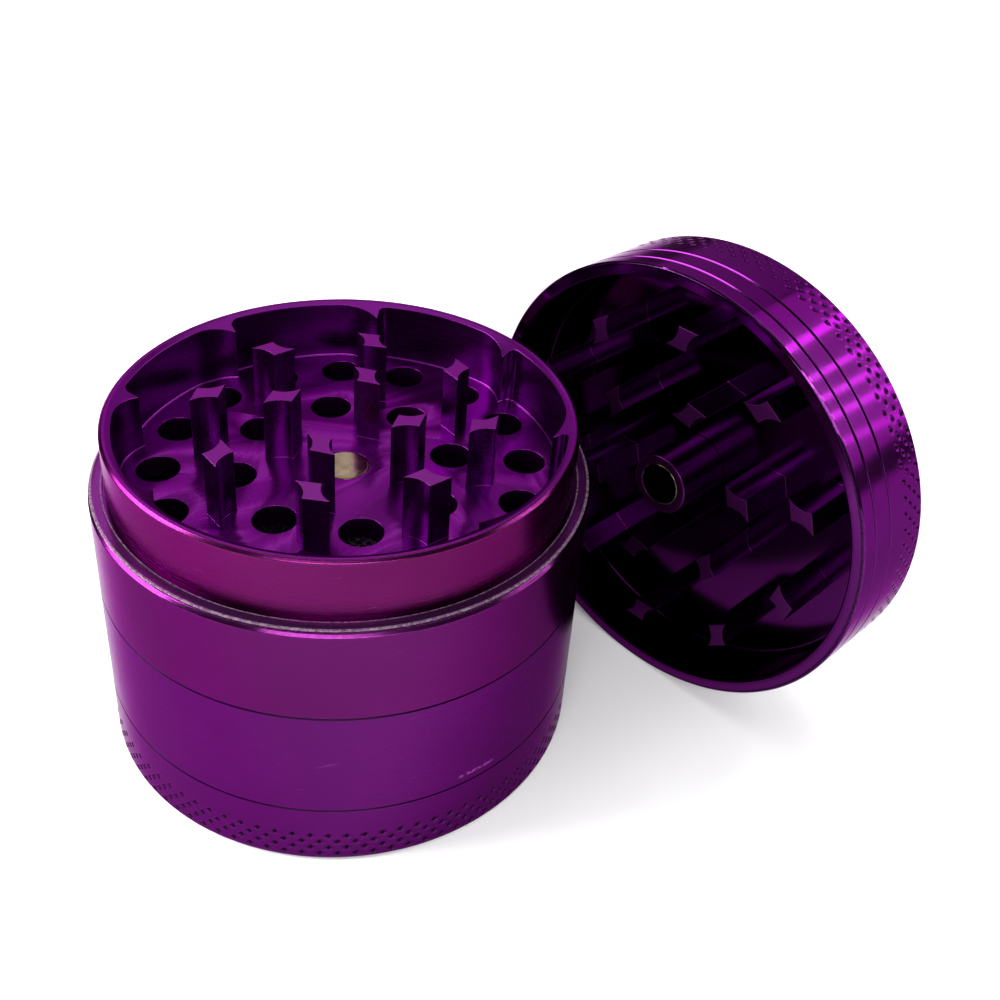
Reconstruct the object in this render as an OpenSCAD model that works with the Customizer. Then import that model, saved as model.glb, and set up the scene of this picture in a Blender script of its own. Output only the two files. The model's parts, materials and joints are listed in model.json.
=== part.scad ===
/* [Body] */
// Outer radius of every section
body_r = 25; // [22:0.5:32]
// Height of the bottom catcher above the table
catcher_top = 7.2; // [6.8:0.1:10]
// Height of the top edge of the screen section
screen_top = 19.5; // [18:0.5:24]
// Height of the step that carries the friction ring
step_z = 29.6; // [28.6:0.2:34]
// Height of the rim of the collar
rim_z = 36.35; // [36.2:0.05:38]
// Size of the chamfer around the step
edge_cut = 0.3; // [0.1:0.05:0.4]
// Size of the fine chamfer where two sections meet
seam_cut = 0.1; // [0.05:0.05:0.4]

/* [Collar] */
// Outer radius of the collar that the lid turns on
collar_r = 23.35; // [23.2:0.05:23.4]
// Radius of the relief turned at the foot of the collar
neck_r = 23.05; // [22.9:0.01:23.1]
// Radius of the lobes milled into the collar
lobe_r = 22.2; // [21.9:0.1:22.5]
// Radius at the tips of the shearing cusps
cusp_r = 20.7; // [20.6:0.1:21.2]
// Number of cusps around the wall
cusps = 8; // [6:1:9]
// Bearing of the first cusp in degrees
cusp_turn = 34.6; // [0:0.1:44]
// Radius where the dished inside of the rim begins
dish_r = 22.75; // [22.6:0.05:23]
// Drop of the dish from the rim to the cusp tips
dish_drop = 1.05; // [0.6:0.05:1.2]

/* [Floor of the grinding chamber] */
// Height of the floor
floor_z = 29.5; // [29:0.1:29.5]
// Thickness of the floor
floor_t = 2.4; // [2:0.1:2.6]
// Radius of each drop hole
hole_r = 2.16; // [1.6:0.02:2.2]
// Number of holes in the outer ring
outer_holes = 16; // [8:1:18]
// Radius of the outer ring of holes
outer_hole_ring = 18.48; // [18.2:0.02:18.6]
// Bearing of the first outer hole in degrees
outer_hole_turn = 1.1; // [0:0.1:22]
// Number of holes in the inner ring
inner_holes = 8; // [4:1:8]
// Radius of the inner ring of holes
inner_hole_ring = 11.02; // [10.8:0.02:11.2]
// Bearing of the first inner hole in degrees
inner_hole_turn = 7.8; // [0:0.1:44]

/* [Teeth] */
// Number of teeth in the outer ring of the chamber
outer_teeth = 8; // [4:1:8]
// Radius of the outer ring of teeth
outer_tooth_ring = 13.85; // [13.8:0.05:14]
// Bearing of the first outer tooth in degrees
outer_tooth_turn = 32.7; // [0:0.1:44]
// Number of teeth in the inner ring of the chamber
inner_teeth = 4; // [3:1:5]
// Radius of the inner ring of teeth
inner_tooth_ring = 6.6; // [6.4:0.05:6.8]
// Bearing of the first inner tooth in degrees
inner_tooth_turn = 69.9; // [0:0.1:89]
// Radial length of a tooth
tooth_l = 2.5; // [2:0.1:2.6]
// Width of a tooth across its slanted sides
tooth_w = 2.56; // [2:0.02:2.8]
// Sideways lean of a tooth from its inner face to its outer face
tooth_lean = 1.24; // [0.6:0.02:1.6]
// Radius of the hollow milled into each slanted side
tooth_hollow_r = 2.6; // [2.2:0.1:6]
// Height of the tooth tips in the chamber
tooth_top = 36.4; // [35:0.1:36.4]

/* [Lid] */
// Height of the lid from lip to closed end
lid_h = 11; // [10:0.5:14]
// Radius of the bore that turns on the collar
lid_bore_r = 23.5; // [23.45:0.05:23.7]
// Depth of the inside of the lid
lid_depth = 7; // [6.6:0.1:7.4]
// Number of teeth in the outer ring of the lid
lid_outer_teeth = 10; // [5:1:10]
// Radius of the outer ring of lid teeth
lid_outer_ring = 18; // [17.6:0.05:18.1]
// Number of teeth in the inner ring of the lid
lid_inner_teeth = 6; // [3:1:6]
// Radius of the inner ring of lid teeth
lid_inner_ring = 10.25; // [10:0.05:10.6]
// Bearing of the first outer lid tooth in degrees
lid_outer_turn = -0.8; // [-18:0.2:18]
// Bearing of the first inner lid tooth in degrees
lid_inner_turn = 12; // [0:0.5:59]
// Height of the middle of the first groove above the lip
groove_1 = 2.05; // [1.2:0.05:3]
// Height of the middle of the second groove above the lip
groove_2 = 4.75; // [4:0.05:6]
// Width of each groove
groove_w = 0.35; // [0.2:0.05:0.8]
// Depth of each groove
groove_d = 0.22; // [0.1:0.02:0.4]

/* [Threads and screen] */
// Length of each screw skirt
skirt_l = 4.2; // [3.6:0.1:4.4]
// Radius of the core of each screw skirt
skirt_r = 22.55; // [22.3:0.05:22.6]
// Radius of the plain register above each thread
register_r = 23.02; // [22.9:0.01:23.03]
// Bore that each skirt screws into
socket_r = 23.1; // [23.1:0.02:23.2]
// Radius of the passage through the sections
passage_r = 21; // [20.6:0.1:21]
// Height of the ledge under the screen
ledge_z = 9.4; // [9.2:0.1:10]
// Height of the retaining ring over the screen
ring_h = 1.1; // [0.8:0.1:1.6]

/* [Magnets and friction ring] */
// Radius of the two disc magnets
magnet_r = 2.4; // [2:0.1:2.6]
// Thickness of the two disc magnets
magnet_t = 1.9; // [1.4:0.1:2]
// Inner radius of the clear friction ring
washer_in = 23.6; // [23.5:0.05:23.8]
// Outer radius of the clear friction ring
washer_out = 24.86; // [24.4:0.02:24.9]
// Thickness of the clear friction ring
washer_t = 0.4; // [0.3:0.05:0.6]

/* [Where the lid stands] */
// Distance to the right of the middle of the lip
lid_x = 33.8; // [33:0.1:60]
// Distance behind the axis of the middle of the lip
lid_y = 2; // [0:0.1:20]
// Bearing that the closed end of the lid faces, in degrees
lid_facing = 37.6; // [20:0.1:60]
// Turn of the lid about its own axis in degrees
lid_spin = 0; // [0:1:359]

/* [Hidden] */
$fn = 96;
gap = 0.05;
slack = 0.02;
teeth_in_body = outer_teeth + inner_teeth;
teeth_in_lid = lid_outer_teeth + lid_inner_teeth;
body_tooth_names = [for (i = [1:teeth_in_body]) str("chamber_tooth_", i)];
lid_tooth_names = [for (i = [1:teeth_in_lid]) str("lid_tooth_", i)];

// Anodised aluminium, bare nickel, woven steel and clear polymer
purple = [0.36, 0.05, 0.42];
nickel = [0.80, 0.74, 0.62];
steel = [0.62, 0.62, 0.64];
clear = [0.85, 0.85, 0.88, 0.4];

catcher_floor_t = 1.5;
catcher_floor_r = 21.5;
ledge_t = 0.9;
ledge_in = 19.8;
mesh_t = 0.2;
mesh_r = 21.2;
ring_in = 20;
ring_bore = 21.3;
register_l = 0.8;
floor_under = floor_z - floor_t;
post_r = 3.4;
tip_z = 0.15;
floor_r = 23;
neck_top = step_z + 0.6;
neck_slope = 0.15;
foot_cut = 0.4;
mouth_cut = 0.2;
lip_cut = 0.15;
closed_cut = 0.45;
corner = 0.8;
past = 1;
pocket_r = magnet_r + gap;

// A tube about the Z axis from one height to another
module tube(z0, z1, r_in, r_out) {
    translate([0, 0, z0]) difference() {
        cylinder(h = z1 - z0, r = r_out);
        translate([0, 0, -past]) cylinder(h = z1 - z0 + 2 * past, r = r_in);
    }
}

// Outline of a skirt with its plain register on top, turned about the Z axis
module skirt(top) {
    bottom = top - skirt_l;
    nose = 0.4;
    taper = 0.3;
    rotate_extrude() polygon([
        [passage_r, bottom], [skirt_r - nose, bottom], [skirt_r, bottom + nose],
        [skirt_r, top - register_l - taper], [register_r, top - register_l],
        [register_r, top], [passage_r, top]]);
}

// Plan of one shearing tooth, with straight faces along the ring and two hollow slanted sides
module tooth_plan(ring) {
    half = tooth_l / 2;
    near = (tooth_w - tooth_lean) / 2;
    far = (tooth_w + tooth_lean) / 2;
    chord = norm([tooth_l, tooth_lean]);
    reach = sqrt(pow(tooth_hollow_r, 2) - pow(chord / 2, 2));
    off = [reach * tooth_lean / chord, (near + far) / 2 + reach * tooth_l / chord];
    translate([ring, 0]) difference() {
        polygon([[half, far], [half, -near], [-half, -far], [-half, near]]);
        translate([off[0], -off[1]]) circle(r = tooth_hollow_r);
        translate([-off[0], off[1]]) circle(r = tooth_hollow_r);
    }
}

// Bearing and ring radius of tooth i, counted through the outer ring and then the inner ring
function body_tooth(i) = i < outer_teeth
    ? [outer_tooth_turn + i * 360 / outer_teeth, outer_tooth_ring]
    : [inner_tooth_turn + (i - outer_teeth) * 360 / inner_teeth, inner_tooth_ring];
function lid_tooth(i) = i < lid_outer_teeth
    ? [lid_outer_turn + i * 360 / lid_outer_teeth, lid_outer_ring]
    : [lid_inner_turn + (i - lid_outer_teeth) * 360 / lid_inner_teeth, lid_inner_ring];

// Puts the lid on its edge on the table: its own Z axis runs from the lip to the closed end
module standing() {
    translate([lid_x, lid_y, body_r + slack]) rotate([0, 90, lid_facing]) rotate([0, 0, lid_spin])
        children();
}

// Outline of the hollow inside the collar: lobes that meet in hooked cusps
module lobes() {
    step = 360 / cusps;
    long_run = 12;
    long_r = (pow(lobe_r, 2) + pow(cusp_r, 2) - 2 * lobe_r * cusp_r * cos(long_run))
        / (2 * (lobe_r - cusp_r * cos(long_run)));
    short_r = 1;
    short_c = lobe_r - short_r;
    short_run = acos((pow(short_c, 2) + pow(cusp_r, 2) - pow(short_r, 2)) / (2 * short_c * cusp_r));
    circle(r = cusp_r);
    for (i = [0:cusps - 1]) rotate(cusp_turn + i * step) {
        rotate(long_run) translate([lobe_r - long_r, 0]) circle(r = long_r);
        rotate(step - short_run) translate([short_c, 0]) circle(r = short_r);
        intersection() {
            circle(r = lobe_r);
            polygon([[0, 0], body_r * 1.2 * [cos(long_run), sin(long_run)],
                     body_r * 1.2 * [cos(step - short_run), sin(step - short_run)]]);
        }
    }
}

module catcher_floor() {
    color(purple) cylinder(h = catcher_floor_t, r = catcher_floor_r);
}

module catcher_wall() {
    color(purple) rotate_extrude() polygon([
        [catcher_floor_r, 0], [body_r - foot_cut, 0], [body_r, foot_cut],
        [body_r, catcher_top - seam_cut], [body_r - seam_cut, catcher_top],
        [socket_r + mouth_cut, catcher_top], [socket_r, catcher_top - mouth_cut],
        [socket_r, catcher_floor_t + corner], [socket_r - corner, catcher_floor_t],
        [catcher_floor_r, catcher_floor_t]]);
}

module screen_shell() {
    low = catcher_top + slack;
    high = screen_top;
    runout = 0.3;
    shelf = high - skirt_l - runout;
    color(purple) rotate_extrude() polygon([
        [passage_r, low], [body_r - seam_cut, low], [body_r, low + seam_cut],
        [body_r, high - seam_cut], [body_r - seam_cut, high],
        [socket_r + mouth_cut, high], [socket_r, high - mouth_cut],
        [socket_r, shelf], [ring_bore, shelf],
        [ring_bore, ledge_z], [ledge_in, ledge_z], [ledge_in, ledge_z - ledge_t],
        [passage_r, ledge_z - ledge_t]]);
}

module screen_skirt() {
    color(purple) skirt(catcher_top + slack);
}

module mesh_screen() {
    color(steel) translate([0, 0, ledge_z]) cylinder(h = mesh_t, r = mesh_r);
}

module retaining_ring() {
    low = ledge_z + mesh_t + slack;
    color(steel) tube(low, low + ring_h, ring_in, ring_bore - gap);
}

module chamber_band() {
    low = screen_top + slack;
    color(purple) rotate_extrude() polygon([
        [passage_r, low], [body_r - seam_cut, low], [body_r, low + seam_cut],
        [body_r, step_z - edge_cut], [body_r - edge_cut, step_z],
        [neck_r, step_z], [neck_r, floor_z], [floor_r, floor_z],
        [floor_r, floor_under], [passage_r, floor_under]]);
}

module chamber_floor() {
    color(purple) difference() {
        translate([0, 0, floor_under]) cylinder(h = floor_t, r = floor_r);
        for (i = [0:outer_holes - 1]) rotate(outer_hole_turn + i * 360 / outer_holes)
            translate([outer_hole_ring, 0, floor_under - past])
                cylinder(h = floor_t + 2 * past, r = hole_r);
        for (i = [0:inner_holes - 1]) rotate(inner_hole_turn + i * 360 / inner_holes)
            translate([inner_hole_ring, 0, floor_under - past])
                cylinder(h = floor_t + 2 * past, r = hole_r);
        translate([0, 0, floor_z - magnet_t - gap]) cylinder(h = magnet_t + past, r = pocket_r);
    }
}

module chamber_collar() {
    roll = 0.2;
    dish_in = cusp_r - 0.5;
    dish_low = dish_drop * (dish_r - dish_in) / (dish_r - cusp_r);
    color(purple) difference() {
        rotate_extrude() polygon([
            [0, floor_z], [neck_r, floor_z], [neck_r, neck_top], [collar_r, neck_top + neck_slope],
            [collar_r, rim_z - roll], [collar_r - roll, rim_z], [0, rim_z]]);
        translate([0, 0, floor_z - past]) linear_extrude(rim_z - floor_z + 2 * past) lobes();
        rotate_extrude() polygon([
            [0, rim_z + past], [dish_r, rim_z + past], [dish_r, rim_z],
            [dish_in, rim_z - dish_low], [0, rim_z - dish_low]]);
    }
}

module chamber_skirt() {
    color(purple) skirt(screen_top + slack);
}

module chamber_tooth(i) {
    place = body_tooth(i);
    color(purple) rotate(place[0]) translate([0, 0, floor_z])
        linear_extrude(tooth_top - floor_z) tooth_plan(place[1]);
}

module chamber_magnet() {
    color(nickel) translate([0, 0, floor_z - magnet_t]) cylinder(h = magnet_t, r = magnet_r);
}

module friction_ring() {
    color(clear) tube(step_z + slack, step_z + slack + washer_t, washer_in, washer_out);
}

module lid_wall() {
    v = groove_w / 2;
    flat = v * 0.4;
    color(purple) standing() rotate_extrude() polygon([
        [lid_bore_r + lip_cut, 0], [body_r - mouth_cut, 0], [body_r, mouth_cut],
        [body_r, groove_1 - v], [body_r - groove_d, groove_1 - flat],
        [body_r - groove_d, groove_1 + flat], [body_r, groove_1 + v],
        [body_r, groove_2 - v], [body_r - groove_d, groove_2 - flat],
        [body_r - groove_d, groove_2 + flat], [body_r, groove_2 + v],
        [body_r, lid_h - closed_cut], [body_r - closed_cut, lid_h],
        [lid_bore_r, lid_h], [lid_bore_r, lip_cut]]);
}

module lid_plate() {
    color(purple) standing() translate([0, 0, lid_depth])
        cylinder(h = lid_h - lid_depth, r = lid_bore_r);
}

module lid_post() {
    color(purple) standing() difference() {
        translate([0, 0, tip_z]) cylinder(h = lid_depth - tip_z, r = post_r);
        translate([0, 0, tip_z - past]) cylinder(h = magnet_t + gap + past, r = pocket_r);
    }
}

module lid_tooth_block(i) {
    place = lid_tooth(i);
    color(purple) standing() rotate(place[0]) translate([0, 0, tip_z])
        linear_extrude(lid_depth - tip_z) tooth_plan(place[1]);
}

module lid_magnet() {
    color(nickel) standing() translate([0, 0, tip_z]) cylinder(h = magnet_t, r = magnet_r);
}

catcher_floor();
catcher_wall();
screen_shell();
screen_skirt();
mesh_screen();
retaining_ring();
chamber_band();
chamber_floor();
chamber_collar();
chamber_skirt();
chamber_magnet();
friction_ring();
lid_wall();
lid_plate();
lid_post();
lid_magnet();
for (i = [0:teeth_in_body - 1])
    chamber_tooth(i);
for (i = [0:teeth_in_lid - 1])
    lid_tooth_block(i);
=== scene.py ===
import json
import math

import bmesh
import bpy
import numpy as np
from mathutils import Matrix, Vector


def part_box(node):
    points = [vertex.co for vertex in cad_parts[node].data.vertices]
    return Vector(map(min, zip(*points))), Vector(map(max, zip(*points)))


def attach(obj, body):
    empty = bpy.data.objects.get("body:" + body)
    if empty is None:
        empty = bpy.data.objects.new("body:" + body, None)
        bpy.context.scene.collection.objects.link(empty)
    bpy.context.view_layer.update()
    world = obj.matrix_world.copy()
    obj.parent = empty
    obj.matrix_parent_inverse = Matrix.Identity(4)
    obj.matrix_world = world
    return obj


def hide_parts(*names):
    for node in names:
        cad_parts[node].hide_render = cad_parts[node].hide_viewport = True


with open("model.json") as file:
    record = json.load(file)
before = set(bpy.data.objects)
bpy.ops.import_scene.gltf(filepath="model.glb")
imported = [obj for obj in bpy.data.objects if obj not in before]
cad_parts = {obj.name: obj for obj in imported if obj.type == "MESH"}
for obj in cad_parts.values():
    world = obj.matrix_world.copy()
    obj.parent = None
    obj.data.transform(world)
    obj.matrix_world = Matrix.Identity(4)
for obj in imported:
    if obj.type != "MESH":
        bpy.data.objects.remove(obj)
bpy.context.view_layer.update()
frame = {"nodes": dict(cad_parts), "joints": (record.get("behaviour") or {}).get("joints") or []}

print("frame loaded:", len(frame["nodes"]), "nodes")

mm = 0.001  # metres in a millimetre; every size below is in millimetres unless its note says otherwise


def span(name):
    # Lowest and highest corner of a node of the frame
    low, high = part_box(name)
    return np.array(low) / mm, np.array(high) / mm


bodyRadius = span("screen_shell")[1][0]
catcherTop = span("catcher_wall")[1][2]
screenLow, screenTop = span("screen_shell")[0][2], span("screen_shell")[1][2]
bandLow, stepTop = span("chamber_band")[0][2], span("chamber_band")[1][2]
floorLow, floorTop = span("chamber_floor")[0][2], span("chamber_floor")[1][2]
rimTop = span("chamber_collar")[1][2]
collarRadius = span("chamber_collar")[1][0]
skirtDrop = screenLow - span("screen_skirt")[0][2]
toothTop = span("chamber_tooth_1")[1][2]

joints = {j["name"]: j for j in frame["joints"]}
lidPlace = np.array(joints["lid_turn"]["pos_m"]) / mm
lidAxis = Vector(joints["lid_turn"]["axis"]).normalized()
lidTurn = Matrix(((0, -lidAxis.y, lidAxis.x), (0, lidAxis.x, lidAxis.y), (-1, 0, 0)))
lidFrame = (lidPlace, np.array(lidTurn))  # where a piece's own frame sits, and how it is turned
standFrame = (np.zeros(3), np.eye(3))

support = 0.05  # a straight run has a row this near each of its ends
seam = 0.1  # chamfer on both edges of a seam
smallRound = 96  # columns around a small turned piece
# base and crest are shares of the pitch, and fade is the length over which a thread dies out
thread = {"pitch": 1.5, "tall": 0.36, "base": 0.52, "crest": 0.24, "fade": 0.5}
# wide and high are half of a dent, and shares are where it has its rows and columns
knurl = {"around": 90, "wide": 0.38, "high": 0.38, "deep": 0.28, "shares": (-1, -0.5, 0, 0.5, 1)}
knurlStep = 2 * np.pi / knurl["around"]


def rounded(corners, arc=3):
    # Each corner is radius, height, fillet and the number of steps to the next corner. A corner becomes
    # start (1 - t)^2 + corner 2 t (1 - t) + end t^2, from where its fillet starts to where it ends,
    # and a straight run longer than four supports gets a row close to both its ends, to shade flat.
    data = np.array(corners, float)
    spot, fillet, steps = data[:, :2], data[:, 2], data[:, 3].astype(int)
    back, ahead = np.roll(spot, 1, 0) - spot, np.roll(spot, -1, 0) - spot
    backLength = np.linalg.norm(back, axis=1)
    aheadLength = np.linalg.norm(ahead, axis=1)
    back, ahead = back / backLength[:, None], ahead / aheadLength[:, None]
    half = np.arccos(np.clip((back * ahead).sum(1), -1, 1)) / 2
    cut = np.minimum(fillet / np.tan(half), 0.45 * np.minimum(backLength, aheadLength))
    start, end = spot + back * cut[:, None], spot + ahead * cut[:, None]
    t = np.linspace(0, 1, arc + 1)[:, None]
    rows = []
    for k in range(len(spot)):
        if cut[k] > 1e-6:
            rows.append(start[k] * (1 - t) ** 2 + 2 * t * (1 - t) * spot[k] + end[k] * t ** 2)
        else:
            rows.append(spot[k:k + 1])
        run = np.roll(start, -1, 0)[k] - end[k]
        length = np.linalg.norm(run)
        if length > 4 * support:
            inner = np.linspace(support / length, 1 - support / length, steps[k] + 2)[:, None]
            rows.append(end[k] + run * inner)
    return np.concatenate(rows)


def makeMesh(name, points, faces, finish, body, replaced=(), slot="purple_anodised", place=standFrame):
    # The points are in the piece's own frame, and the object stays at the origin
    world = (points @ place[1].T + place[0]) * mm
    mesh = bpy.data.meshes.new(name)
    mesh.from_pydata(world.tolist(), [], faces)
    mesh.validate()
    mesh.shade_smooth()
    mesh.materials.append(finish)
    piece = bpy.data.objects.new(name, mesh)
    bpy.context.scene.collection.objects.link(piece)
    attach(piece, body)
    if replaced:
        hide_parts(*replaced)


def gridFaces(across, along, closedAlong, poles):
    # Quads between neighbouring columns (across) and rows (along). With poles, the first and the last row
    # are one vertex each, and the quads beside them become triangles.
    index = np.arange(across * along).reshape(across, along)
    if poles:
        index[:, 0], index[:, -1] = index[0, 0], index[0, -1]
    nextColumn = np.roll(index, -1, 0)
    rows = slice(None) if closedAlong else slice(0, along - 1)
    after = lambda a: np.roll(a, -1, 1)[:, rows]
    quads = np.stack([index[:, rows], nextColumn[:, rows], after(nextColumn), after(index)], -1)
    if not poles:
        return index, quads.reshape(-1, 4).tolist()
    ends = np.concatenate([quads[:, 0][:, [0, 2, 3]], quads[:, -1][:, [0, 1, 3]]])
    return index, quads[:, 1:-1].reshape(-1, 4).tolist() + ends.tolist()


def compact(points, faces):
    # Drops the vertices that no face uses, and turns every face round if the volume is negative:
    # six times the volume = sum over the faces' triangles of (a cross b) dot c
    used = np.unique([v for f in faces for v in f])
    lookup = np.full(len(points), -1)
    lookup[used] = np.arange(len(used))
    points = points[used]
    volume = 0.0
    for size in {len(f) for f in faces}:
        f = lookup[np.array([g for g in faces if len(g) == size])]
        for k in range(1, size - 1):
            a, b, c = points[f[:, 0]], points[f[:, k]], points[f[:, k + 1]]
            volume += (np.cross(a, b) * c).sum()
    flip = -1 if volume < 0 else 1
    return points, [lookup[list(f)][::flip].tolist() for f in faces]


def openProfile(corners):
    # The same rounding for a profile that starts and ends on the axis. rounded() also joins its last
    # corner to its first, and those rows along the axis are cut off here.
    rows = rounded(corners)

    def rowAt(corner):  # the row on the axis at this corner's height
        return np.argmin(np.abs(rows[:, 0]) + np.abs(rows[:, 1] - corner[1]) * 1000)

    rows = np.roll(rows, -rowAt(corners[0]), 0)
    rows = rows[:rowAt(corners[-1]) + 1]
    rows[0, 0] = rows[-1, 0] = 0
    return rows


def turned(name, corners, finish, body, columns=192, swell=None, closed=True, **ride):
    # A surface of revolution: profile (r, z) carried round the axis, point = (r cos a, r sin a, z),
    # where r may first be changed by swell(a, r, z). columns is a number or the bearings themselves.
    profile = rounded(corners) if closed else openProfile(corners)
    angle = (np.arange(columns) * 2 * np.pi / columns if np.isscalar(columns) else columns)[:, None]
    r = np.repeat(profile[None, :, 0], len(angle), 0)
    z = np.repeat(profile[None, :, 1], len(angle), 0)
    if swell is not None:
        r = r + swell(angle, r, z)
    points = np.stack([r * np.cos(angle), r * np.sin(angle), z], -1).reshape(-1, 3)
    faces = gridFaces(len(angle), len(profile), closed, not closed)[1]
    points, faces = compact(points, faces)
    makeMesh(name, points, faces, finish, body, **ride)


def onWall(r, radius):
    # True for the rows of the wall itself, and not for those of its chamfers
    return np.abs(r - radius) < 0.01


def ridges(first, last, radius, outward, phase):
    # Helical ridge of a right-hand thread: wave = how far the fraction of
    # (height / pitch - bearing / full turn + phase) is from a half, doubled; the ridge is a trapezoid
    # that stands full where wave < crest and is gone where wave > base, faded out at both its ends
    def swell(angle, r, z):
        wave = np.abs((z / thread["pitch"] - angle / (2 * np.pi) + phase) % 1 - 0.5) * 2
        ridge = np.clip((thread["base"] - wave) / (thread["base"] - thread["crest"]), 0, 1)
        fade = np.clip((z - first) / thread["fade"], 0, 1) * np.clip((last - z) / thread["fade"], 0, 1)
        return outward * thread["tall"] * ridge * fade * onWall(r, radius)
    return swell


def dents(heights, radius, size):
    # Knurl: rhombic dents with flat bottoms, every second row half a step on;
    # cut = 1 - (arc to the nearest dent / wide + height to the row / high) / size,
    # depth = deep * size * (twice the cut, held between 0 and 1)
    def swell(angle, r, z):
        share = np.zeros_like(r)
        for row, height in enumerate(heights):
            arc = np.abs((angle / knurlStep + 0.5 * (row % 2) + 0.5) % 1 - 0.5) * knurlStep * radius
            cut = 1 - (arc / knurl["wide"] + np.abs(z - height) / knurl["high"]) / size
            share = np.maximum(share, np.minimum(2 * cut, 1))
        return -knurl["deep"] * size * share * onWall(r, radius)
    return swell


def knurlColumns(radius, size):
    # Bearings of the columns: each dent gets its middle, its edges and the places halfway, in both of the
    # staggered rows
    near = np.array(knurl["shares"]) * knurl["wide"] * size / radius
    one = np.concatenate([near, near + knurlStep / 2])
    return (one[None] + np.arange(knurl["around"])[:, None] * knurlStep).ravel()


def knurlCorners(heights, radius, size):
    # Rows of the profile at the same shares of each dent's height, in the order of the heights
    return [(radius, h + share * size * knurl["high"] * np.sign(heights[-1] - heights[0]), 0, 0)
            for h in heights for share in knurl["shares"]]


def together(*swells):
    # Sum of several swells
    return lambda angle, r, z: sum(s(angle, r, z) for s in swells)


class Wire:
    # A socket that can stand in a sum: wave * 0.3 or 1 - mask adds the Math nodes
    def __init__(self, finish, socket):
        self.finish, self.socket = finish, socket

    def math(self, operation, *others):
        return self.finish.add("ShaderNodeMath", {"operation": operation}, dict(enumerate((self, *others))))

    def __add__(self, other):
        return self.math("ADD", other)

    def __sub__(self, other):
        return self.math("SUBTRACT", other)

    def __mul__(self, other):
        return self.math("MULTIPLY", other)

    def __pow__(self, other):
        return self.math("POWER", other)

    def __rsub__(self, other):
        return self.finish.add("ShaderNodeMath", {"operation": "SUBTRACT"}, {0: other, 1: self})

    __radd__ = __add__
    __rmul__ = __mul__

    def between(self, low, high, start=0.0, end=1.0):
        # low..high becomes start..end, eased, and held outside
        return self.finish.add("ShaderNodeMapRange", {"interpolation_type": "SMOOTHSTEP"},
                               {"Value": self, "From Min": low, "From Max": high,
                                "To Min": start, "To Max": end})

    def under(self, low, high):
        # 1 below low, 0 above high
        return self.between(low, high, 1.0, 0.0)

    def around(self, near, far):
        # 1 within near of nought on both sides, 0 beyond far
        return self.math("ABSOLUTE").under(near, far)


class Finish:
    # One material: a Principled shader whose sockets take a constant or a Wire. Its patterns lie in the
    # piece's own frame, in millimetres.
    def __init__(self, name, place=standFrame, **constants):
        self.material = bpy.data.materials.new(name)
        self.material.use_nodes = True
        self.tree = self.material.node_tree
        self.tree.nodes.clear()
        self.shader = self.tree.nodes.new("ShaderNodeBsdfPrincipled")
        output = self.tree.nodes.new("ShaderNodeOutputMaterial")
        self.tree.links.new(self.shader.outputs["BSDF"], output.inputs["Surface"])
        for socket, value in constants.items():
            self.shader.inputs[socket.replace("_", " ")].default_value = value
        turn = Matrix(place[1].tolist()).to_euler()
        coordinates = self.add("ShaderNodeTexCoord", {}, {}, "Object")
        self.place = self.add("ShaderNodeMapping", {"vector_type": "TEXTURE"},
                              {"Vector": coordinates, "Location": (place[0] * mm).tolist(),
                               "Rotation": turn, "Scale": (mm, mm, mm)})

    def add(self, kind, settings, values, output=0):
        node = self.tree.nodes.new(kind)
        for name, value in settings.items():
            setattr(node, name, value)
        for name, value in values.items():
            self.feed(node.inputs[name], value)
        return Wire(self, node.outputs[output])

    def feed(self, socket, value):
        if isinstance(value, Wire):
            self.tree.links.new(value.socket, socket)
        elif socket.type == "RGBA" and len(value) == 3:
            socket.default_value = (*value, 1)
        else:
            socket.default_value = value

    def surface(self, **inputs):
        for name, value in inputs.items():
            self.feed(self.shader.inputs[name.replace("_", " ")], value)
        return self.material

    def axes(self):
        first = self.add("ShaderNodeSeparateXYZ", {}, {0: self.place})
        return [Wire(self, output) for output in first.socket.node.outputs]

    def vector(self, x, y, z):
        return self.add("ShaderNodeCombineXYZ", {}, {0: x, 1: y, 2: z})

    def noise(self, vector, scale=1.0, detail=2.0, rough=0.5):
        return self.add("ShaderNodeTexNoise", {}, {"Vector": vector, "Scale": scale, "Detail": detail,
                                                   "Roughness": rough})

    def mix(self, factor, first, second):
        # 6 and 7 are the node's colour inputs, and 2 its colour output
        return self.add("ShaderNodeMix", {"data_type": "RGBA"}, {0: factor, 6: first, 7: second}, 2)

    def bump(self, height, depth, strength):
        return self.add("ShaderNodeBump", {},
                        {"Height": height, "Distance": depth * mm, "Strength": strength})


# deep and dye are the two tones of the dye, rub is bare metal, and the darkest colour is painted shade for
# the knurl's dents and the seams; fine, cloud and grain are the patterns' scales, and bump is the depth of
# the turning marks
purple = {"deep": (0.062, 0.0050, 0.072), "dye": (0.076, 0.0064, 0.088), "rub": (0.42, 0.10, 0.45),
          "paintedShade": (0.012, 0.001, 0.018), "fine": 7.0, "cloud": 0.05, "grain": 5.0, "rough": 0.25,
          "bump": 0.002, "scratches": 0.12, "wear": 0.06}
# a redder dye for the collar: painted reflection of warm surroundings on its front
paintedWarmReflection = {**purple, "deep": (0.076, 0.0036, 0.052), "dye": (0.092, 0.0048, 0.066)}
violet = {"deep": (0.112, 0.0062, 0.136), "dye": (0.130, 0.0080, 0.156), "rough": 0.28, "bump": 0.004}
everyHeight = 50.0  # above every piece, so that a piece's inside colour reaches all the way up
# radii between which the knurl's dents get painted shade
knurlShadeRadii = {"bottom": bodyRadius - 0.45, "top": bodyRadius - 0.02, "soft": (0.1, 0.18)}
nickSize = {"x": (1.5, 1.9), "y": (3.0, 4.0), "z": (0.12, 0.24), "strength": 0.55}


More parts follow.
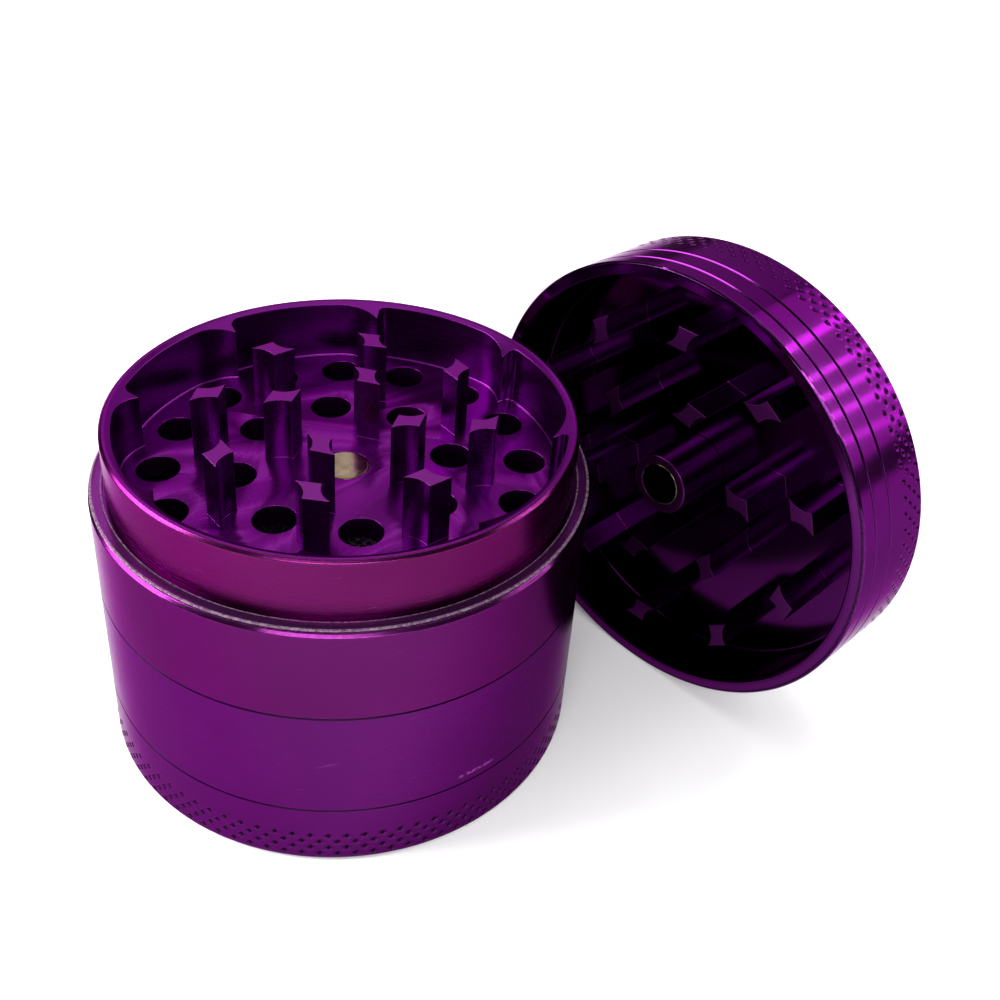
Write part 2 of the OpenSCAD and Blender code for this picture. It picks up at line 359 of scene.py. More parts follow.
def anodised(name, look, place=standFrame):
    # Dyed aluminium: fine turning rings about the piece's axis, slightly cloudy dye, rubbed edges, a few
    # hairlines; height of the surface = rings + 0.15 grain - 0.6 hairlines
    f = Finish(name, place, Metallic=1.0, Specular_Tint=(0.55, 0.27, 0.55, 1), Coat_Weight=0.04,
               Coat_Roughness=0.2)
    x, y, z = f.axes()
    out = (x * x + y * y) ** 0.5
    rings = f.noise(f.vector(out * look["fine"], z * look["fine"], x * 0.02), detail=3.0, rough=0.65)
    clouds = f.noise(f.place, look["cloud"], 4.0, 0.6)
    grain = f.noise(f.place, look["grain"], 2.0, 0.6)
    slant = f.vector(x * 0.12 + z * 0.5, y * 0.12 - z * 0.2, (z - x * 0.3) * 3.0)
    scratch = f.noise(slant, 1.3, 1.0, 0.4).between(0.775, 0.80)
    colour = f.mix(clouds.between(0.25, 0.75), look["deep"], look["dye"])
    colour = f.mix(scratch * look["scratches"], colour, look["rub"])
    if "inside" in look:  # a colour inside the piece: painted shade in the lid, painted light on the grinding section's inner step, and the violet of the milled inside in the collar
        insideRadius, insideTop, insideToneAndShading = look["inside"]
        isInside = out.under(insideRadius - 0.1, insideRadius) * z.under(insideTop - 0.1, insideTop)
        colour = f.mix(isInside, colour, insideToneAndShading)
    if look.get("dents"):  # the knurl's dents are painted darker: painted shade in the recesses
        bottomSoft, topSoft = knurlShadeRadii["soft"]
        dentShadeMask = out.under(knurlShadeRadii["top"] - topSoft, knurlShadeRadii["top"]) \
            * out.between(knurlShadeRadii["bottom"], knurlShadeRadii["bottom"] + bottomSoft)
        colour = f.mix(dentShadeMask, colour, look["paintedShade"])
    if "nick" in look:  # one short broken scuff along the wall
        nickX, nickY, nickZ = look["nick"]
        broken = f.noise(f.place, 2.6, 2.0).between(0.42, 0.5)
        mark = (x - nickX).around(*nickSize["x"]) * (y - nickY).under(*nickSize["y"]) \
            * (z - nickZ).around(*nickSize["z"]) * broken
        colour = f.mix(mark * nickSize["strength"], colour, look["rub"])
    rough = look["rough"] + (rings - 0.5) * 0.16 + (clouds - 0.5) * 0.14 - scratch * 0.06
    for seamUp in look.get("seams", ()):  # painted shade in the seam between parts, which is also made rougher
        seamShade = (z - seamUp).around(0.09, 0.14)
        colour = f.mix(seamShade, colour, look["paintedShade"])
        rough = rough + seamShade * 0.35
    for edgeOut, edgeUp in look.get("edges", ()):  # handling polishes the edges
        near = ((out - edgeOut) ** 2 + (z - edgeUp) ** 2).under(0.10, 0.25)
        colour = f.mix(near * grain.between(0.4, 0.62) * look["wear"], colour, look["rub"])
        rough = rough - near * 0.1
    height = rings + grain * 0.15 - scratch * 0.6
    return f.surface(Base_Color=colour, Roughness=rough, Normal=f.bump(height, look["bump"], 0.6))


def milled(name, look, place=standFrame):
    # End-milled aluminium: overlapping faint arcs from the cutter, glossier than the turned faces;
    # height of the surface = 0.35 arcs + 0.9 steps + 0.3 grain
    f = Finish(name, place, Metallic=1.0, Specular_Tint=(0.55, 0.28, 0.60, 1), Coat_Weight=0.03,
               Coat_Roughness=0.1)
    x, y, z = f.axes()
    swirl = f.add("ShaderNodeTexWave", {"wave_type": "RINGS", "rings_direction": "SPHERICAL"},
                  {"Vector": f.vector(x + 9.0, y - 4.0, 0.0), "Scale": 1.9, "Distortion": 1.4,
                   "Detail": 2.0, "Detail Scale": 0.4}, "Fac")
    steps = f.noise(f.vector(x * 0.3, y * 0.3, z * 6.0), detail=3.0)
    clouds = f.noise(f.place, 0.16, 3.0)
    grain = f.noise(f.place, 6.0, 2.0)
    colour = f.mix(clouds.between(0.3, 0.7), look["deep"], look["dye"])
    rough = look["rough"] + (grain - 0.5) * 0.12 + (clouds - 0.5) * 0.1
    if "tip" in look:  # the tips are faced off in one matt cut
        faced = (z - look["tip"]).around(0.0, 0.03)
        colour = f.mix(faced, colour, look["faced"])
        rough = rough + faced * 0.16
    return f.surface(Base_Color=colour, Roughness=rough,
                     Normal=f.bump(swirl * 0.35 + steps * 0.9 + grain * 0.3, look["bump"], 0.5))


def nickelPlate(name, place=standFrame):
    # Bare nickel plating: yellowish, mirror-like, with fine handling scratches
    f = Finish(name, place, Metallic=1.0)
    x, y, z = f.axes()
    hair = f.noise(f.vector(x * 1.2, y * 14.0, z), detail=2.0)
    cloud = f.noise(f.place, 0.7, 3.0)
    colour = f.mix(cloud.between(0.35, 0.65), (0.10, 0.068, 0.045), (0.15, 0.108, 0.075))
    return f.surface(Base_Color=colour, Roughness=0.16 + (hair - 0.5) * 0.12 + (cloud - 0.5) * 0.08,
                     Normal=f.bump(hair, 0.003, 0.5))


def drawnSteel(name):
    # Bright steel with fine lines around it from the drawing
    f = Finish(name, Metallic=1.0)
    x, y, z = f.axes()
    lines = f.noise(f.vector(x * 0.4, y * 0.4, z * 9.0), detail=3.0)
    cloud = f.noise(f.place, 0.4, 3.0)
    colour = f.mix(cloud, (0.42, 0.42, 0.43), (0.56, 0.56, 0.57))
    return f.surface(Base_Color=colour, Roughness=0.26 + (lines - 0.5) * 0.2,
                     Normal=f.bump(lines, 0.004, 0.5))


weave = {"spacing": 0.31, "wireEdge": (0.34, 0.5), "bump": 0.06}  # one wire every 0.31 mm


def wovenSteel(name):
    # Plain weave: two sets of crossing wires, each |sin(pi place / spacing)| across its own direction, over
    # and under in turn by the product of two sines of half that rate, and open between the wires
    f = Finish(name, Metallic=1.0)
    x, y, z = f.axes()
    per = math.pi / weave["spacing"]
    wireX, wireY = (y * per).math("SINE").math("ABSOLUTE"), (x * per).math("SINE").math("ABSOLUTE")
    over = (x * per * 0.5).math("SINE") * (y * per * 0.5).math("SINE")
    gaps = wireX.under(*weave["wireEdge"]) * wireY.under(*weave["wireEdge"])
    shade = f.noise(f.place, 0.8, 2.0)
    colour = f.mix(shade, (0.10, 0.10, 0.11), (0.26, 0.26, 0.27))
    return f.surface(Base_Color=colour, Roughness=0.2 + shade * 0.1, Alpha=1 - gaps,
                     Normal=f.bump(wireX * 0.5 + wireY * 0.5 + over * 0.4, weave["bump"], 0.8))


frictionRing = {"bore": 23.6, "out": 24.86, "lowEdge": 0.1, "topEdge": 0.14}


def clearPolymer(name, inner, outer, top):
    # Clear plastic washer: see-through in the middle, with pale milky lines along both its edges painted as
    # the highlights those edges catch
    f = Finish(name, IOR=1.46, Specular_IOR_Level=0.5)
    x, y, z = f.axes()
    out = (x * x + y * y) ** 0.5
    scuff = f.noise(f.place, 2.2, 4.0, 0.65)
    innerEdgeHighlight = out.under(inner + 0.12, inner + 0.24)
    outerEdgeHighlight = out.between(outer - 0.34, outer - 0.22)
    # pale lines along both edges: painted highlight
    edge = innerEdgeHighlight.math("MAXIMUM", outerEdgeHighlight) * scuff.between(0.3, 0.65, 0.45, 1.0) \
        * (z - top).between(-0.12, -0.04)
    colour = f.mix(edge, (0.16, 0.035, 0.18), (0.25, 0.18, 0.22))
    return f.surface(Base_Color=colour, Roughness=0.16 + edge * 0.15 + scuff * 0.12,
                     Alpha=0.05 + edge * 0.65, Normal=f.bump(scuff, 0.015, 0.5))


catcher = {"floor": 1.5, "bore": 23.1, "foot": 0.4, "mouth": 0.2, "corner": 0.8, "thread": (4.3, 0.3),
           "knurlRows": (0.95, 1.80, 2.65, 3.50), "dentSize": 1.05}  # thread: how far below the top it lies
catcherFinish = anodised("anodised_catcher", {**purple, "dents": True, "edges": ((bodyRadius, 0.0),),
                                              "seams": (catcherTop,)})
turned("catcher_cup", [
    (0, 0, 0, 3),
    (bodyRadius - catcher["foot"], 0, 0.12, 1),
    (bodyRadius, catcher["foot"], 0.12, 0)]
    + knurlCorners(catcher["knurlRows"], bodyRadius, catcher["dentSize"]) + [
    (bodyRadius, catcherTop - seam, 0.04, 1),
    (bodyRadius - seam, catcherTop, 0.04, 2),
    (catcher["bore"] + catcher["mouth"], catcherTop, 0.06, 1),
    (catcher["bore"], catcherTop - catcher["mouth"], 0.06, 28),
    (catcher["bore"], catcher["floor"] + catcher["corner"], 0.2, 2),
    (catcher["bore"] - catcher["corner"], catcher["floor"], 0.3, 3),
    (0, catcher["floor"], 0, 1)],
    catcherFinish, "catcher", columns=knurlColumns(bodyRadius, catcher["dentSize"]), closed=False,
    swell=together(dents(catcher["knurlRows"], bodyRadius, catcher["dentSize"]),
                   ridges(catcherTop - catcher["thread"][0], catcherTop - catcher["thread"][1],
                          catcher["bore"], outward=-1, phase=0.5)),
    replaced=("catcher_wall", "catcher_floor"))
print("catcher done")


# Shared by the sieve and the grinding section; the thread keeps clear of the skirt's end and its register
section = {"passage": 21.0, "skirt": 22.55, "nose": 0.4, "taper": 0.3, "register": 23.02,
           "registerTall": 0.8, "edge": 0.3, "bore": 23.1, "mouth": 0.2, "threadClear": (0.25, 0.1)}
sieve = {"shelf": screenTop - skirtDrop - 0.3, "ringBore": 21.3, "ledge": span("mesh_screen")[0][2],
         "ledgeIn": 19.8, "ledgeThick": 0.9, "threadClear": (0.1, 0.3)}


def skirtCorners(top):
    # Profile of a threaded skirt and of the seam above it, from the inside of its end
    bottom = top - skirtDrop
    return [(section["passage"], bottom, 0.1, 1),
            (section["skirt"] - section["nose"], bottom, 0.06, 1),
            (section["skirt"], bottom + section["nose"], 0.08, 24),
            (section["skirt"], top - section["registerTall"] - section["taper"], 0.05, 1),
            (section["register"], top - section["registerTall"], 0.05, 1),
            (section["register"], top, 0.04, 1),
            (bodyRadius - seam, top, 0.04, 1),
            (bodyRadius, top + seam, 0.04, 8)]


def skirtRidges(top):
    low, high = section["threadClear"]
    return ridges(top - skirtDrop + low, top - section["registerTall"] - high, section["skirt"],
                  outward=1, phase=0)


sieveFinish = anodised("anodised_sieve", {**purple, "nick": (12.6, -21.4, 8.3),
                                          "seams": (screenLow, screenTop)})
turned("sieve_body", skirtCorners(screenLow) + [
    (bodyRadius, screenTop - seam, 0.04, 1),
    (bodyRadius - seam, screenTop, 0.04, 2),
    (section["bore"] + section["mouth"], screenTop, 0.06, 1),
    (section["bore"], screenTop - section["mouth"], 0.06, 30),
    (section["bore"], sieve["shelf"], 0.1, 1),
    (sieve["ringBore"], sieve["shelf"], 0.1, 3),
    (sieve["ringBore"], sieve["ledge"], 0.05, 1),
    (sieve["ledgeIn"], sieve["ledge"], 0.08, 1),
    (sieve["ledgeIn"], sieve["ledge"] - sieve["ledgeThick"], 0.08, 1),
    (section["passage"], sieve["ledge"] - sieve["ledgeThick"], 0.1, 6)],
    sieveFinish, "screen_section",
    swell=together(skirtRidges(screenLow),
                   ridges(sieve["shelf"] + sieve["threadClear"][0], screenTop - sieve["threadClear"][1],
                          section["bore"], outward=-1, phase=0.5)),
    replaced=("screen_shell", "screen_skirt"))

clip = {"bore": 20.0, "out": 21.25, "edge": 0.2}
clipLow, clipTop = span("retaining_ring")[0][2], span("retaining_ring")[1][2]
turned("retaining_clip", [
    (clip["bore"], clipLow, clip["edge"], 1), (clip["out"], clipLow, clip["edge"], 1),
    (clip["out"], clipTop, clip["edge"], 1), (clip["bore"], clipTop, clip["edge"], 1)],
    drawnSteel("drawn_steel"), "screen_ring", replaced=("retaining_ring",), slot="steel_ring")
screen = frame["nodes"]["mesh_screen"]
screen.data.materials.clear()
screen.data.materials.append(wovenSteel("woven_steel"))
print("sieve section done")


chamber = {"neck": 23.05, "floorOut": 23.0}
# the lighter inside colour is painted light on the inner step under the clear washer
bandFinish = anodised("anodised_chamber", {
    **purple, "deep": (0.064, 0.0046, 0.060), "dye": (0.078, 0.0060, 0.074), "seams": (bandLow,),
    "edges": ((bodyRadius, stepTop),), "inside": (bodyRadius - 0.2, everyHeight, (0.120, 0.0070, 0.130))})
turned("chamber_body", skirtCorners(bandLow) + [
    (bodyRadius, stepTop - section["edge"], 0.1, 1),
    (bodyRadius - section["edge"], stepTop, 0.1, 2),
    (chamber["neck"], stepTop, 0.03, 1),
    (chamber["neck"], floorTop, 0, 1),
    (chamber["floorOut"], floorTop, 0, 1),
    (chamber["floorOut"], floorLow, 0, 1),
    (section["passage"], floorLow, 0.05, 8)],
    bandFinish, "grinding_section", swell=skirtRidges(bandLow), replaced=("chamber_band", "chamber_skirt"))

# turn and longRun are in degrees, short is the radius of the tight arc, and columns says how many columns
# of the surface lie between two bearings of a lobe
lobe = {"count": 8, "turn": 34.6, "out": 22.2, "cusp": 20.7, "longRun": 12.0, "short": 1.0,
        "columns": ((0, 3, 21), (3, 13, 25), (13, 41, 13), (41, 45, 33))}
rim = {"dish": 22.75, "drop": 1.05, "roll": 0.28, "soft": 0.06, "neckTall": 0.6, "neckSlope": 0.15,
       "root": 0.25, "wallRows": (0.3, 1.5, 3.0, 4.5)}


def farHit(angle, middle, radius, bearing):
    # Distance along a ray from the axis to the far side of a circle = middle cos(turn)
    # + sqrt(radius^2 - (middle sin(turn))^2), or nought where the ray misses it
    across, along = middle * np.sin(angle - bearing), middle * np.cos(angle - bearing)
    inside = radius ** 2 - across ** 2
    return np.where((inside > 0) & (along > 0), along + np.sqrt(np.maximum(inside, 0)), 0)


def lobeRadius(angle):
    # Inside of the collar: in each lobe a long arc leaves one cusp, runs into a circle about the axis and
    # ends in a tight arc at the next cusp. The radius is the largest of those three and of the cusp circle.
    # The long arc touches the circle: its radius = (out^2 + cusp^2 - 2 out cusp cos(longRun))
    # / (2 (out - cusp cos(longRun))).
    step = 2 * np.pi / lobe["count"]
    a = (angle - math.radians(lobe["turn"])) % step
    out, cusp, longRun, short = lobe["out"], lobe["cusp"], math.radians(lobe["longRun"]), lobe["short"]
    reach = cusp * math.cos(longRun)
    longRadius = (out ** 2 + cusp ** 2 - 2 * out * reach) / (2 * (out - reach))
    middle = out - short
    shortRun = math.acos((middle ** 2 + cusp ** 2 - short ** 2) / (2 * middle * cusp))
    radius = np.maximum(farHit(a, out - longRadius, longRadius, longRun), cusp)
    radius = np.maximum(radius, farHit(a, middle, short, step - shortRun))
    return np.maximum(radius, np.where((a > longRun) & (a < step - shortRun), out, 0))


def collarPiece(finish):
    # Each column is one bearing; its rows run up the lobed wall, over the dished rim, down the outside and
    # back under the foot. The dish rises in a straight line from the cusp tips to its outer edge:
    # height = rim top - drop (dish - r) / (dish - cusp).
    perLobe = np.concatenate([np.linspace(*run, endpoint=False) for run in lobe["columns"]])
    starts = lobe["turn"] + np.arange(lobe["count"]) * 360 / lobe["count"]
    angle = np.radians(starts[:, None] + perLobe).ravel()
    inside = lobeRadius(angle)
    soft, root = rim["soft"], rim["root"]
    slope = rim["drop"] / (rim["dish"] - lobe["cusp"])

    def dishHeight(r):
        return rimTop - slope * np.maximum(rim["dish"] - r, 0)

    quarter = np.linspace(0, np.pi / 2, 5)[:, None]
    t = np.linspace(0, 1, 5)[:, None]
    wall = np.array(rim["wallRows"])[:, None]
    crest = inside + soft * t ** 2
    dish = inside + soft + (rim["dish"] - support - inside - soft) * np.linspace(0, 1, 4)[1:, None]
    outer = rounded([
        (rim["dish"] + support, rimTop, 0, 1),
        (collarRadius - rim["roll"], rimTop, 0.16, 1),
        (collarRadius, rimTop - rim["roll"], 0.16, 6),
        (collarRadius, stepTop + rim["neckTall"] + rim["neckSlope"], 0.05, 1),
        (chamber["neck"], stepTop + rim["neckTall"], 0.05, 1),
        (chamber["neck"], floorTop, 0, 1)])
    outer = outer[:np.argmin(np.abs(outer - [chamber["neck"], floorTop]).sum(1)) + 1]
    stretches = [
        (inside - root * (1 - np.sin(quarter)), floorTop + root * (1 - np.cos(quarter))),
        (inside, floorTop + wall),
        (crest, dishHeight(crest) - soft * (1 - t) ** 2),
        (dish, dishHeight(dish)),
        (outer[:, :1], outer[:, 1:])]
    stretches = [np.broadcast_arrays(r, z, inside)[:2] for r, z in stretches]
    r, z = [np.concatenate(rows).T for rows in zip(*stretches)]
    a = angle[:, None]
    points = np.stack([r * np.cos(a), r * np.sin(a), z], -1).reshape(-1, 3)
    points, faces = compact(points, gridFaces(len(angle), r.shape[1], True, False)[1])
    makeMesh("chamber_collar_ring", points, faces, finish, "grinding_section", ("chamber_collar",))


# redder all over as a painted reflection of warm surroundings; the milled inside keeps the violet tone
collarFinish = anodised("anodised_collar", {
    **paintedWarmReflection, "rough": 0.27, "edges": ((collarRadius, rimTop),),
    "inside": (chamber["neck"], everyHeight, (0.105, 0.0056, 0.128))})
collarPiece(collarFinish)

# long is across the ring and wide along it; hollow is the radius of the slanted sides, and a ring of teeth
# is a number, the first bearing in degrees and the radius
tooth = {"long": 2.5, "wide": 2.56, "lean": 1.24, "hollow": 2.6, "corner": 0.06, "soft": 0.04, "root": 0.08,
         "chamberRings": ((8, 32.7, 13.85), (4, 69.9, 6.6)), "lidRings": ((10, -0.8, 18.0), (6, 12, 10.25))}


def toothOutline():
    # Plan of a tooth: two straight ends and two slanted sides, each hollowed by a circle through its
    # corners, points = middle + hollow (cos a, sin a)
    half = tooth["long"] / 2
    near, far = (tooth["wide"] - tooth["lean"]) / 2, (tooth["wide"] + tooth["lean"]) / 2
    chord = math.hypot(tooth["long"], tooth["lean"])
    reach = math.sqrt(tooth["hollow"] ** 2 - (chord / 2) ** 2)
    middle = np.array([reach * tooth["lean"] / chord, -(near + far) / 2 - reach * tooth["long"] / chord])
    start, end = np.array([half, -near]), np.array([-half, -far])
    a0 = math.atan2(*(start - middle)[::-1])
    a1 = math.atan2(*(end - middle)[::-1])
    a = np.linspace(a0, a1, 12)[1:-1, None]
    arc = middle + tooth["hollow"] * np.concatenate([np.cos(a), np.sin(a)], 1)

    def filleted(*spots):
        return [(*spot, tooth["corner"], 0) for spot in spots]

    def plain(spots):
        return [(*spot, 0, 0) for spot in spots]

    return rounded(filleted((half, far), start) + plain(arc) + filleted(end, (-half, near)) + plain(-arc))


def ringPlaces(rings):
    # Bearing and radius of every tooth
    return [(first + 360 / count * k, radius) for count, first, radius in rings for k in range(count)]


def toothPiece(name, node, bearing, ringRadius, base, tip, finish, body, place=standFrame):
    # The outline carried straight up, scaled about its middle by 1 + grow / half of its length: it flares
    # along a quarter circle at the root and shrinks along a small one at the tip, then closes flat
    outline = toothOutline()
    up = 1 if tip > base else -1
    tall = abs(tip - base)
    soft, root = tooth["soft"], tooth["root"]
    quarter = np.linspace(0, np.pi / 2, 5)
    grow = np.concatenate([root * (1 - np.sin(quarter)), np.zeros(3), -soft * (1 - np.cos(quarter)),
                           [-soft - support, -soft - 2 * support]])
    level = np.concatenate([root * (1 - np.cos(quarter)), [root + support, tall / 2, tall - soft - support],
                            tall - soft + soft * np.sin(quarter), [tall, tall]])
    flat = outline * (1 + grow / (tooth["long"] / 2))[:, None, None]
    c, s = math.cos(math.radians(bearing)), math.sin(math.radians(bearing))
    x = (flat[..., 0] + ringRadius) * c - flat[..., 1] * s
    y = (flat[..., 0] + ringRadius) * s + flat[..., 1] * c
    z = np.broadcast_to(base + up * level[:, None], x.shape)
    points = np.stack([x, y, z], -1).transpose(1, 0, 2).reshape(-1, 3)
    index, faces = gridFaces(len(outline), len(level), False, False)
    faces = faces + [index[::-1, 0].tolist(), index[:, -1].tolist()]
    following = np.roll(outline, -1, 0)
    area = (outline[:, 0] * following[:, 1] - outline[:, 1] * following[:, 0]).sum()
    if area * up < 0:
        faces = [f[::-1] for f in faces]
    makeMesh(name, points, faces, finish, body, (node,), place=place)


toothFinish = milled("milled_teeth", {**violet, "tip": toothTop, "faced": (0.148, 0.015, 0.165)})
for k, (bearing, ringRadius) in enumerate(ringPlaces(tooth["chamberRings"])):
    toothPiece(f"chamber_cutter_{k + 1}", f"chamber_tooth_{k + 1}", bearing, ringRadius, floorTop, toothTop,
               toothFinish, "grinding_section")

floorFinish = milled("milled_floor", {**violet, "rough": 0.29, "bump": 0.003})
deck = {"bevel": 0.06, "bevelSteps": 3, "sharpFrom": 40, "flatWithin": 2}  # angles in degrees


def floorPiece(finish):
    # A copy of the frame's floor with its doubled vertices merged and a small bevel on every sharp edge
    source = frame["nodes"]["chamber_floor"]
    work = bmesh.new()
    work.from_mesh(source.data)
    bmesh.ops.remove_doubles(work, verts=work.verts, dist=1e-6)
    bmesh.ops.dissolve_limit(work, angle_limit=math.radians(deck["flatWithin"]), verts=work.verts,
                             edges=work.edges)
    mesh = bpy.data.meshes.new("chamber_deck")
    work.to_mesh(mesh)
    work.free()
    mesh.shade_smooth()
    mesh.materials.clear()
    mesh.materials.append(finish)
    piece = bpy.data.objects.new("chamber_deck", mesh)
    bpy.context.scene.collection.objects.link(piece)
    bevel = piece.modifiers.new("soft edges", "BEVEL")
    bevel.width, bevel.segments, bevel.limit_method = deck["bevel"] * mm, deck["bevelSteps"], "ANGLE"
    bevel.angle_limit = math.radians(deck["sharpFrom"])
    bevel.harden_normals = True
    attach(piece, "grinding_section")
    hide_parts("chamber_floor")


floorPiece(floorFinish)
magnetLow, magnetTop = span("chamber_magnet")[0][2], span("chamber_magnet")[1][2]
magnet = {"radius": span("chamber_magnet")[1][0], "edge": 0.12}
turned("chamber_disc_magnet", [
    (0, magnetLow, 0, 2),
    (magnet["radius"], magnetLow, magnet["edge"], 2),
    (magnet["radius"], magnetTop, magnet["edge"], 4),
    (0, magnetTop, 0, 1)],
    nickelPlate("nickel_plate"), "chamber_magnet", columns=smallRound, closed=False,
    replaced=("chamber_magnet",), slot="nickel")

washerLow, washerTop = span("friction_ring")[0][2], span("friction_ring")[1][2]
turned("friction_ring_clear", [
    (frictionRing["bore"], washerLow, frictionRing["lowEdge"], 1),
    (frictionRing["out"], washerLow, frictionRing["lowEdge"], 1),
    (frictionRing["out"], washerTop, frictionRing["topEdge"], 1),
    (frictionRing["bore"], washerTop, frictionRing["topEdge"], 1)],
    clearPolymer("clear_polymer", frictionRing["bore"], frictionRing["out"], washerTop), "friction_ring",
    replaced=("friction_ring",), slot="clear_ring")
print("grinding section done")


# Heights in the lid's own frame: its mouth is at nought, and its closed end at tall
lid = {"tall": 11.0, "bore": 23.5, "deep": 7.0, "edge": 0.45, "lipOut": 0.2, "lipIn": 0.15, "tip": 0.15,
       "grooves": (4.75, 2.05), "grooveWide": 0.35, "grooveFlat": 0.14, "grooveDeep": 0.22, "post": 3.4,
       "pocket": 2.45, "magnet": 1.9, "knurlRows": (10.05, 9.23, 8.41, 7.59), "dentSize": 0.78}
# the darker inside colour is painted shade inside the lid
lidLook = {**purple, "deep": (0.070, 0.0056, 0.084), "dye": (0.084, 0.0070, 0.100), "rough": 0.12,
           "dents": True, "inside": (24.0, lid["tall"] - 0.4, (0.060, 0.0034, 0.072)),
           "edges": ((bodyRadius, 0.0), (bodyRadius, lid["tall"]))}
lidFinish = anodised("anodised_lid", lidLook, lidFrame)


def grooveCorners(height):
    # A groove with slanted sides and a flat bottom
    half, flat, bottom = lid["grooveWide"] / 2, lid["grooveFlat"] / 2, bodyRadius - lid["grooveDeep"]
    return [(bodyRadius, height + half, 0.05, 0), (bottom, height + flat, 0.04, 0),
            (bottom, height - flat, 0.04, 0), (bodyRadius, height - half, 0.05, 0)]


turned("lid_cap", [
    (0, lid["tall"], 0, 1),
    (bodyRadius - lid["edge"], lid["tall"], 0.2, 1),
    (bodyRadius, lid["tall"] - lid["edge"], 0.2, 0)]
    + knurlCorners(lid["knurlRows"], bodyRadius, lid["dentSize"])
    + grooveCorners(lid["grooves"][0]) + grooveCorners(lid["grooves"][1]) + [
    (bodyRadius, lid["lipOut"], 0.08, 1),
    (bodyRadius - lid["lipOut"], 0, 0.08, 2),
    (lid["bore"] + lid["lipIn"], 0, 0.06, 1),
    (lid["bore"], lid["lipIn"], 0.06, 1),
    (lid["bore"], lid["deep"], 0.35, 1),
    (0, lid["deep"], 0, 1)],
    lidFinish, "lid", columns=knurlColumns(bodyRadius, lid["dentSize"]), closed=False,
    swell=dents(lid["knurlRows"], bodyRadius, lid["dentSize"]),
    replaced=("lid_wall", "lid_plate"), place=lidFrame)

# a darker copy of the milled teeth finish: painted shade on the teeth, post and faced tips inside the lid
shadedLidTeethFinish = milled("milled_lid_teeth_painted_shade", {
    **violet, "deep": (0.046, 0.0026, 0.056), "dye": (0.060, 0.0036, 0.072), "tip": lid["tip"],
    "faced": (0.055, 0.006, 0.064)}, lidFrame)
pocketFloor = lid["tip"] + lid["magnet"] + 0.05
turned("lid_post_boss", [
    (0, pocketFloor, 0, 2),
    (lid["pocket"], pocketFloor, 0.05, 2),
    (lid["pocket"], lid["tip"], 0.08, 1),
    (lid["post"], lid["tip"], 0.2, 6),
    (lid["post"], lid["deep"], 0.1, 4),
    (0, lid["deep"], 0, 1)],
    shadedLidTeethFinish, "lid", columns=smallRound, closed=False, replaced=("lid_post",), place=lidFrame)
turned("lid_disc_magnet", [
    (0, lid["tip"], 0, 4),
    (magnet["radius"], lid["tip"], magnet["edge"], 2),
    (magnet["radius"], lid["tip"] + lid["magnet"], magnet["edge"], 2),
    (0, lid["tip"] + lid["magnet"], 0, 1)],
    nickelPlate("nickel_plate_lid", lidFrame), "lid_magnet", columns=smallRound, closed=False,
    replaced=("lid_magnet",), slot="nickel", place=lidFrame)
for k, (bearing, ringRadius) in enumerate(ringPlaces(tooth["lidRings"])):
    toothPiece(f"lid_cutter_{k + 1}", f"lid_tooth_{k + 1}", bearing, ringRadius, lid["deep"], lid["tip"],
               shadedLidTeethFinish, "lid", lidFrame)
print("lid done")


# Metres, watts and degrees. A card has its place, the place it points at, its size and its power; a strip
# has its bearing and height as seen from the lid, its width and its power.
studio = {"table": 3.0, "background": (0.92, 0.9, 0.95, 1), "backgroundStrength": 0.22,
          "cards": {"overhead": ((0.0, 0.05, 0.8), (0.0, 0, 0.0), (0.8, 0.8), 3.0),
                    "back_card": ((0.12, 1.3, 0.75), (0.02, 0, 0.03), (1.7, 0.9), 3.9),
                    "rim_bar": ((-0.14, 0.99, 0.83), (0.0, 0, 0.03), (0.6, 0.10), 0.7),
                    "front_card": ((0.0, -0.83, 0.56), (0.0, 0, 0.03), (0.8, 0.30), 5.0),
                    "front_bar": ((-0.14, -0.73, 0.71), (0.0, 0, 0.03), (0.7, 0.10), 3.4),
                    "left_box": ((-0.30, 0.03, 0.20), (-0.05, 0, 0.0), (0.22, 0.22), 2.6)},
          "strips": ((61.5, 37, 0.028, 0.36), (74.5, 31.5, 0.020, 0.26), (80.5, 26.5, 0.020, 0.26),
                     (85.0, 21.5, 0.020, 0.25), (90.5, 15.5, 0.020, 0.15)),
          "stripLong": 0.42, "stripAway": 0.6, "stripTilt": 38}
view = {"place": (-0.183, -100.824, 101.719), "yaw": 8.825, "pitch": 32.68, "roll": 4.599,
        "lens": 43.467, "sensor": 36.0, "shift": (-0.0003, -0.0914), "clip": (0.005, 20.0)}


def paleFloor():
    f = Finish("pale_floor", Specular_IOR_Level=0.2)
    speckle = f.noise(f.place, 0.02, 3.0)
    tone = f.mix(speckle.between(0.3, 0.7), (0.86, 0.86, 0.86), (0.90, 0.90, 0.90))
    f.surface(Base_Color=tone, Roughness=0.75)
    side = studio["table"]
    mesh = bpy.data.meshes.new("table_top")
    mesh.from_pydata([(-side, -side, 0), (side, -side, 0), (side, side, 0), (-side, side, 0)], [],
                     [(0, 1, 2, 3)])
    mesh.materials.append(f.material)
    table = bpy.data.objects.new("table_top", mesh)
    bpy.context.scene.collection.objects.link(table)


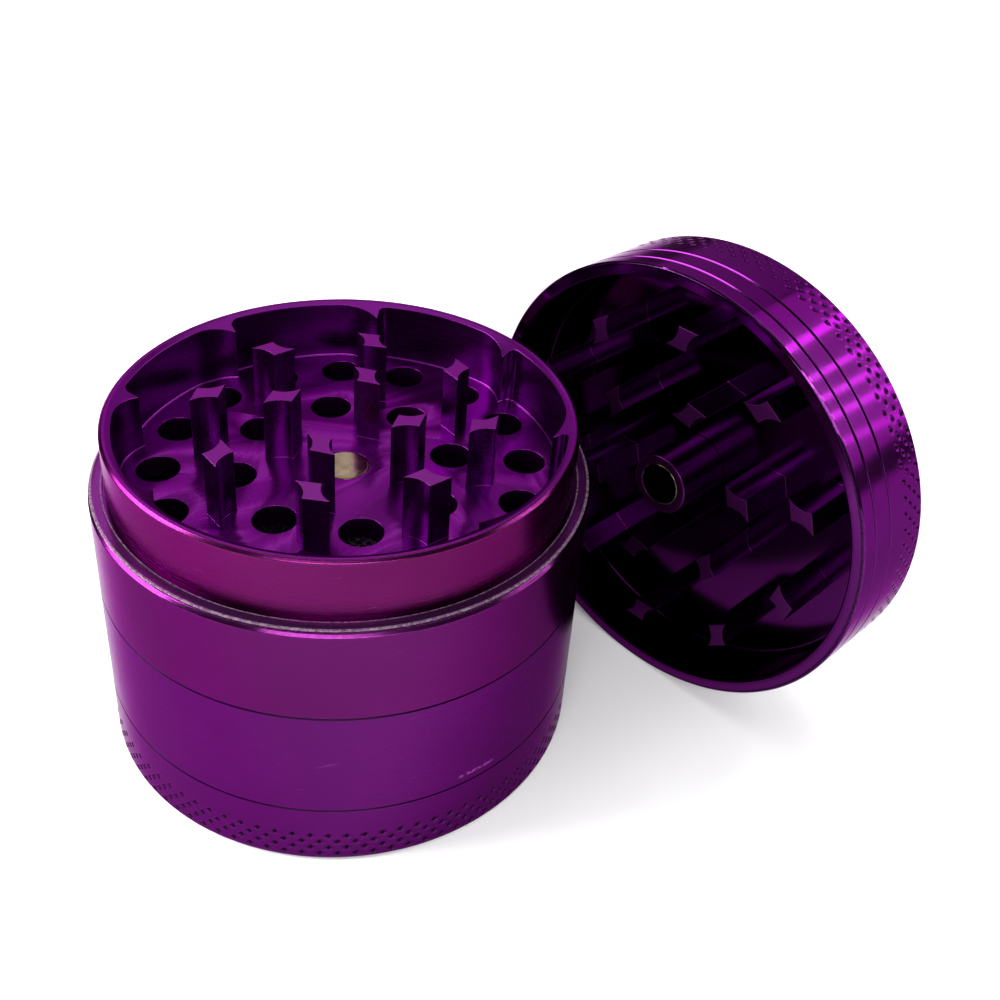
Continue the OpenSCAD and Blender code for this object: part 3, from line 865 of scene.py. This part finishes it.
def softLight(name, place, target, size, power, roll=0.0):
    data = bpy.data.lights.new(name, "AREA")
    data.shape, data.size, data.size_y = "RECTANGLE", size[0], size[1]
    data.energy = power
    light = bpy.data.objects.new(name, data)
    bpy.context.scene.collection.objects.link(light)
    away = Vector(place) - Vector(target)
    light.matrix_world = Matrix.Translation(place) @ away.to_track_quat("Z", "Y").to_matrix().to_4x4() \
        @ Matrix.Rotation(roll, 4, "Z")


def lidLight(name, bearing, height, away, size, power, tilt):
    # A light seen from the lid at this bearing and height, its long side tilted from the vertical
    b, h = math.radians(bearing), math.radians(height)
    direction = Vector((math.sin(b) * math.cos(h), math.cos(b) * math.cos(h), math.sin(h)))
    middle = Vector(lidPlace) * mm
    softLight(name, middle + direction * away, middle, size, power, roll=math.radians(tilt))


paleFloor()
world = bpy.data.worlds.new("studio")
world.use_nodes = True
background = world.node_tree.nodes["Background"]
background.inputs["Color"].default_value = studio["background"]
background.inputs["Strength"].default_value = studio["backgroundStrength"]
bpy.context.scene.world = world
for name, card in studio["cards"].items():
    softLight(name, *card)
lidLight("right_card", 76, 27, 0.7, (0.75, 0.42), 2.0, 10)
for k, (bearing, height, width, power) in enumerate(studio["strips"]):
    lidLight(f"strip_{k + 1}", bearing, height, studio["stripAway"], (width, studio["stripLong"]), power,
             studio["stripTilt"])

cameraData = bpy.data.cameras.new("camera")
cameraData.lens, cameraData.sensor_width = view["lens"], view["sensor"]
cameraData.shift_x, cameraData.shift_y = view["shift"]
cameraData.clip_start, cameraData.clip_end = view["clip"]
camera = bpy.data.objects.new("camera", cameraData)
bpy.context.scene.collection.objects.link(camera)
camera.matrix_world = Matrix.Translation(Vector(view["place"]) * mm) \
    @ Matrix.Rotation(math.radians(-view["yaw"]), 4, "Z") \
    @ Matrix.Rotation(math.radians(90 - view["pitch"]), 4, "X") \
    @ Matrix.Rotation(math.radians(view["roll"]), 4, "Z")
bpy.context.scene.camera = camera
bpy.context.scene.view_settings.view_transform = "Standard"
print("light and camera done")
